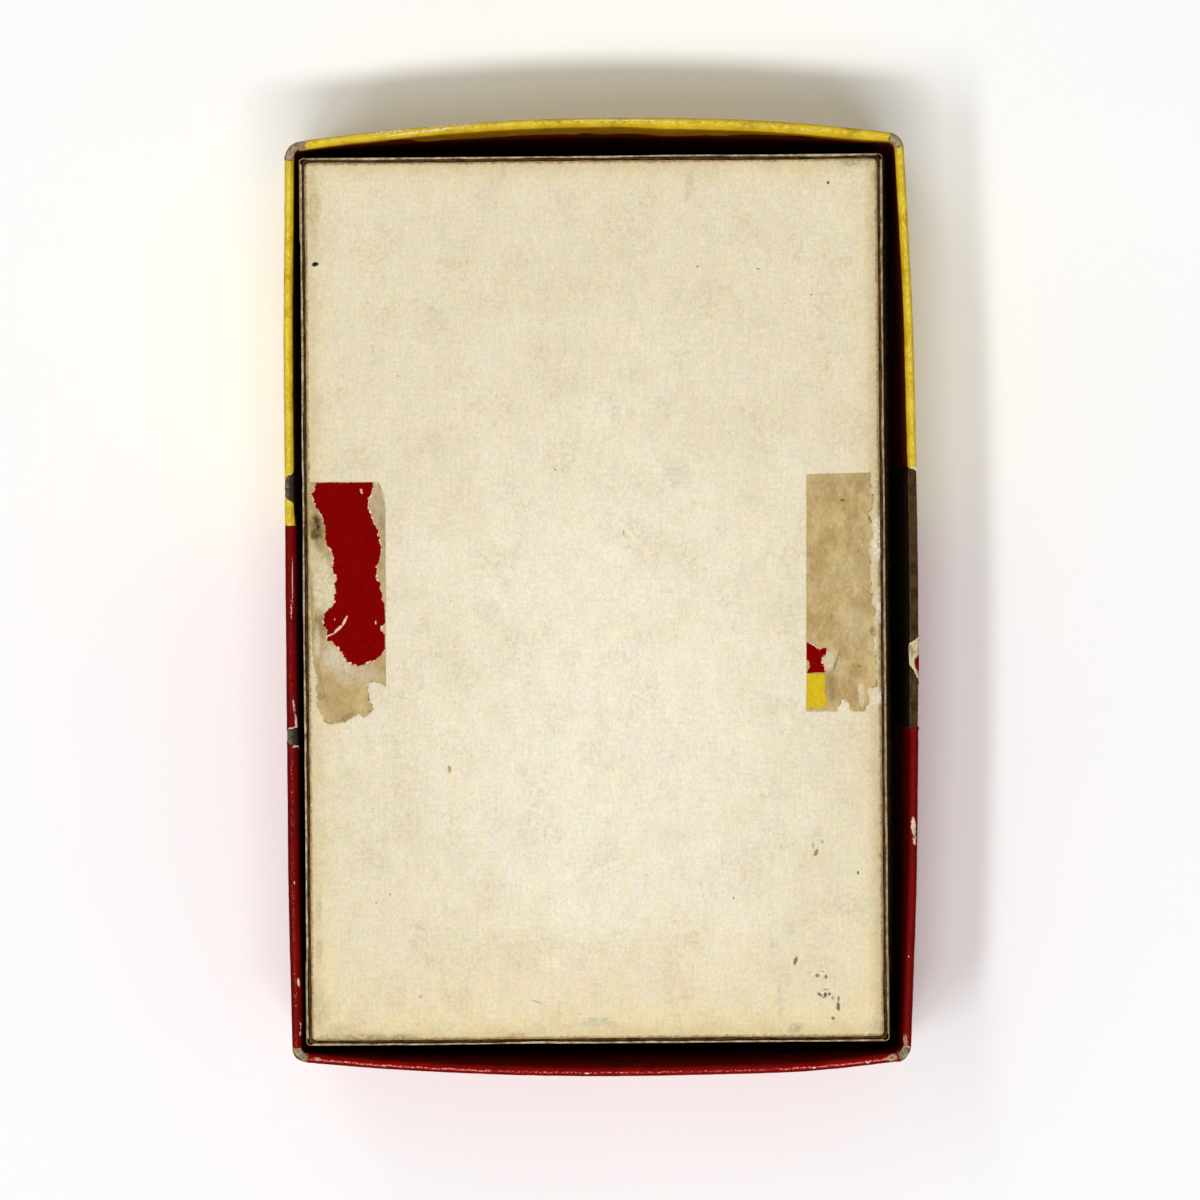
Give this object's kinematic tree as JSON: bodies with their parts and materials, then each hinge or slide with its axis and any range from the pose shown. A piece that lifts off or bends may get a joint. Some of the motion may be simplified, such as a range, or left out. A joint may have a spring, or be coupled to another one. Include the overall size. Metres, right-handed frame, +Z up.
{
  "type": "card game box",
  "caption": "Telescoping chipboard box for a card game, lid face down with its tray upside down inside, holding a deck and a folded rules sheet.",
  "frame": {"origin": "centre of the flat outer face of the lid, which lies face down", "axes": "+Y along the length of the box, +Z up from the lid face to the bottom of the upturned tray, +X across the width"},
  "size_m": [0.068, 0.103, 0.0225],
  "materials": {
    "lid_chipboard": "matte grey-brown chipboard",
    "lid_print": "printed coated paper, yellow and red, worn",
    "stay_paper": "kraft paper",
    "seal_paper": "beige gummed paper, torn",
    "seal_print": "red printed paper, worn",
    "seal_print_yellow": "yellow printed paper, worn",
    "tray_chipboard": "brown chipboard, matte",
    "tray_lining": "cream board lining, aged",
    "card_stock": "varnished card",
    "leaflet_paper": "uncoated paper"
  },
  "bodies": {
    "lid": {"lid_board": "lid_chipboard", "lid_face_sheet": "lid_print", "lid_seal_scrap": "seal_paper", "lid_side_wrap": "lid_print", "lid_stay_bottom_left": "stay_paper", "lid_stay_bottom_right": "stay_paper", "lid_stay_top_left": "stay_paper", "lid_stay_top_right": "stay_paper"},
    "tray": {"seal_left_paper": "seal_paper", "seal_left_print": "seal_print", "seal_right_paper": "seal_paper", "seal_right_red": "seal_print", "seal_right_yellow": "seal_print_yellow", "tray_board": "tray_chipboard", "tray_liner_bottom": "tray_lining", "tray_liner_left": "tray_lining", "tray_liner_right": "tray_lining", "tray_liner_top": "tray_lining", "tray_panel_liner": "tray_lining", "tray_stay_bottom_left": "stay_paper", "tray_stay_bottom_right": "stay_paper", "tray_stay_top_left": "stay_paper", "tray_stay_top_right": "stay_paper"},
    "deck": {"playing_cards": "card_stock"},
    "leaflet": {"rules_leaflet": "leaflet_paper"}
  },
  "joints": [
    {"name": "tray_lift", "type": "slide", "parent": "lid", "child": "tray", "axis": [0, 0, 1], "range_m": [0, 0.06]},
    {"name": "deck_lift", "type": "slide", "parent": "lid", "child": "deck", "axis": [0, 0, 1], "range_m": [0, 0.03]},
    {"name": "leaflet_lift", "type": "slide", "parent": "lid", "child": "leaflet", "axis": [0, 0, 1], "range_m": [0, 0.0252]}
  ],
  "couplings": [
    {"joint": "deck_lift", "follows": "tray_lift", "ratio": 0.5},
    {"joint": "leaflet_lift", "follows": "tray_lift", "ratio": 0.42}
  ]
}
